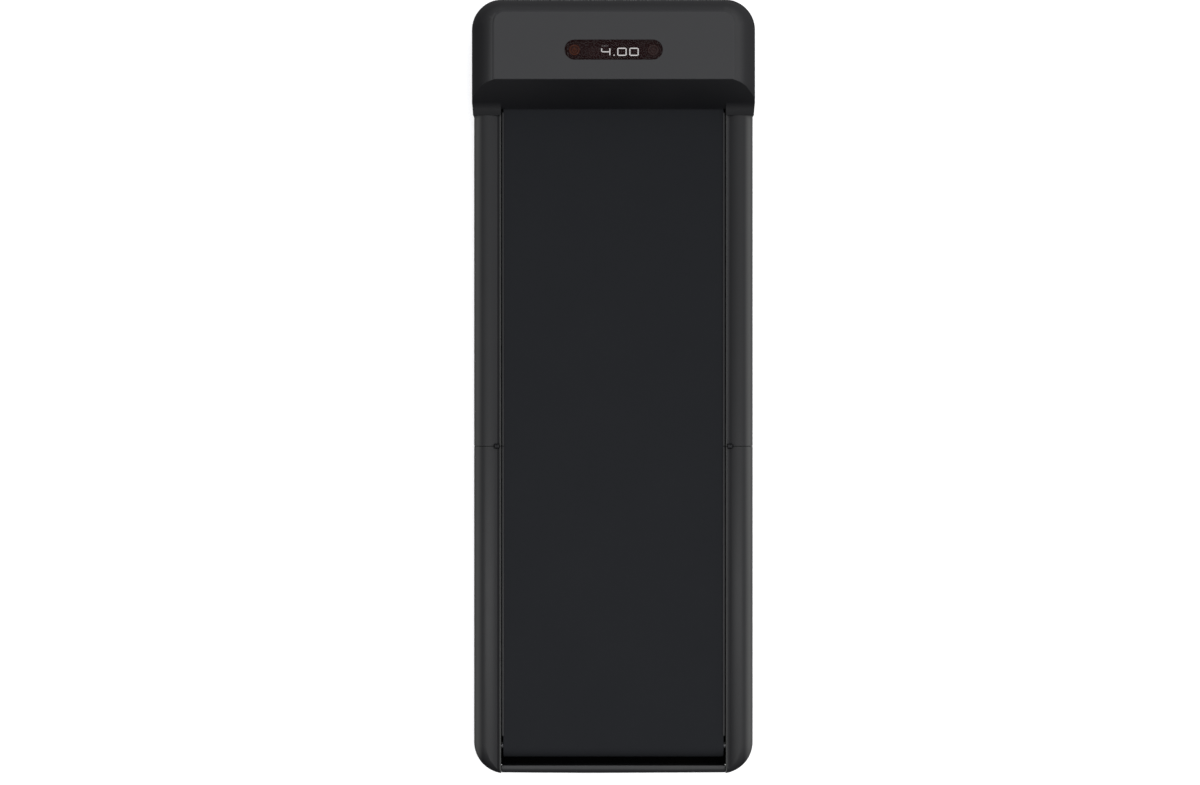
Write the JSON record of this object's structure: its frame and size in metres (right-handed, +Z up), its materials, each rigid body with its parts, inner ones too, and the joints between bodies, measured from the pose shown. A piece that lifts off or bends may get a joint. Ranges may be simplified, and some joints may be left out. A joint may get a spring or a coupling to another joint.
{
  "type": "folding treadmill",
  "caption": "Flat under-desk treadmill with a low front console, fold-over rear deck, belt on rollers, guide rails, feet and transport wheels.",
  "frame": {"origin": "centre of the laid-flat footprint, on the floor", "axes": "+Y from the rear bumper towards the front console, +X to the right, +Z up"},
  "size_m": [0.527, 1.44, 0.125],
  "materials": {
    "cover_plastic": "fine satin texture, near black",
    "panel_plastic": "smooth satin, graphite",
    "rail_plastic": "fine satin texture, near black",
    "guide_plastic": "matt black",
    "tray_plastic": "matt black",
    "belt_rubber": "diamond-textured black belting",
    "lens_smoked": "smoked clear",
    "circuit_board": "solder mask",
    "digit_lit": "lit white",
    "digit_off": "unlit",
    "icon_amber": "dim backlit",
    "frame_steel": "black powder coat",
    "hinge_steel": "black oxide",
    "axle_steel": "turned",
    "roller_steel": "turned and coated",
    "bearing_steel": "ground",
    "deck_board": "waxed fibreboard",
    "soft_rubber": "moulded",
    "motor_paint": "semi-gloss black",
    "cast_alloy": "machined",
    "component_plastic": "sleeved",
    "inlet_plastic": "moulded black",
    "contact_brass": "plated",
    "rocker_plastic": "red translucent",
    "wheel_plastic": "moulded grey",
    "wheel_rubber": "moulded"
  },
  "bodies": {
    "front_deck": {"base_tray": "tray_plastic", "belt_front": "belt_rubber", "board_components": "component_plastic", "control_board": "circuit_board", "display_board": "circuit_board", "display_digits": "digit_lit", "display_lens": "lens_smoked", "display_segments_off": "digit_off", "drive_belt": "soft_rubber", "front_axle": "axle_steel", "front_board": "deck_board", "front_cross_tubes": "frame_steel", "front_cushions": "soft_rubber", "front_feet": "soft_rubber", "front_guides": "guide_plastic", "front_hinge_leaves": "hinge_steel", "front_rail_left": "rail_plastic", "front_rail_right": "rail_plastic", "front_side_member_left": "frame_steel", "front_side_member_right": "frame_steel", "head_cover": "cover_plastic", "heat_sink": "cast_alloy", "hinge_pins": "axle_steel", "inlet_pins": "contact_brass", "motor_bracket": "frame_steel", "motor_can": "motor_paint", "power_inlet": "inlet_plastic", "switch_frame": "inlet_plastic", "top_panel": "panel_plastic", "touch_icons": "icon_amber", "wheel_brackets": "frame_steel"},
    "front_roller": {"front_roller": "roller_steel", "front_bearings": "bearing_steel", "driven_pulley": "cast_alloy"},
    "motor_rotor": {"motor_shaft": "axle_steel", "motor_pulley": "cast_alloy"},
    "rear_axle": {"rear_axle": "axle_steel"},
    "rear_roller": {"rear_roller": "roller_steel", "rear_bearings": "bearing_steel"},
    "tension_bolt_left": {"tension_bolt_left": "axle_steel"},
    "tension_bolt_right": {"tension_bolt_right": "axle_steel"},
    "wheel_left": {"wheel_rim_left": "wheel_plastic", "wheel_tyre_left": "wheel_rubber"},
    "wheel_right": {"wheel_rim_right": "wheel_plastic", "wheel_tyre_right": "wheel_rubber"},
    "power_switch": {"switch_rocker": "rocker_plastic"},
    "rear_deck": {"rear_rail_left": "rail_plastic", "rear_rail_right": "rail_plastic", "rear_guides": "guide_plastic", "rear_side_member_left": "frame_steel", "rear_side_member_right": "frame_steel", "rear_cross_tubes": "frame_steel", "rear_board": "deck_board", "rear_cushions": "soft_rubber", "belt_rear": "belt_rubber", "rear_hinge_leaves": "hinge_steel", "rear_feet": "soft_rubber", "axle_brackets": "frame_steel", "rear_bumper": "cover_plastic", "rear_bar": "frame_steel"}
  },
  "joints": [
    {"name": "deck_fold", "type": "hinge", "parent": "front_deck", "child": "rear_deck", "pos_m": [0, -0.109, 0.0623], "axis": [-1, 0, 0], "range_deg": [0, 180]},
    {"name": "front_roller_spin", "type": "hinge", "parent": "front_deck", "child": "front_roller", "pos_m": [0, 0.56, 0.0352], "axis": [1, 0, 0], "continuous": true},
    {"name": "motor_spin", "type": "hinge", "parent": "front_deck", "child": "motor_rotor", "pos_m": [-0.2, 0.645, 0.054], "axis": [1, 0, 0], "continuous": true},
    {"name": "rear_axle_slide", "type": "slide", "parent": "rear_deck", "child": "rear_axle", "axis": [0, 1, 0], "range_m": [0, 0.008]},
    {"name": "rear_roller_spin", "type": "hinge", "parent": "rear_axle", "child": "rear_roller", "pos_m": [0, -0.669, 0.0352], "axis": [1, 0, 0], "continuous": true},
    {"name": "tension_bolt_left_turn", "type": "hinge", "parent": "rear_deck", "child": "tension_bolt_left", "pos_m": [-0.218, -0.69, 0.0352], "axis": [0, -1, 0], "range_deg": [0, 2881]},
    {"name": "tension_bolt_right_turn", "type": "hinge", "parent": "rear_deck", "child": "tension_bolt_right", "pos_m": [0.218, -0.69, 0.0352], "axis": [0, -1, 0], "range_deg": [0, 2881]},
    {"name": "wheel_left_spin", "type": "hinge", "parent": "front_deck", "child": "wheel_left", "pos_m": [-0.21, 0.69, 0.023], "axis": [1, 0, 0], "continuous": true},
    {"name": "wheel_right_spin", "type": "hinge", "parent": "front_deck", "child": "wheel_right", "pos_m": [0.21, 0.69, 0.023], "axis": [1, 0, 0], "continuous": true},
    {"name": "power_switch_rock", "type": "hinge", "parent": "front_deck", "child": "power_switch", "pos_m": [0.104, 0.712, 0.033], "axis": [0, 0, -1], "range_deg": [0, 20]}
  ],
  "couplings": [
    {"joint": "motor_spin", "follows": "front_roller_spin", "ratio": 2.3333},
    {"joint": "rear_roller_spin", "follows": "front_roller_spin", "ratio": 1},
    {"joint": "tension_bolt_left_turn", "follows": "rear_axle_slide", "rad_per_m": 6283.2},
    {"joint": "tension_bolt_right_turn", "follows": "rear_axle_slide", "rad_per_m": 6283.2}
  ]
}
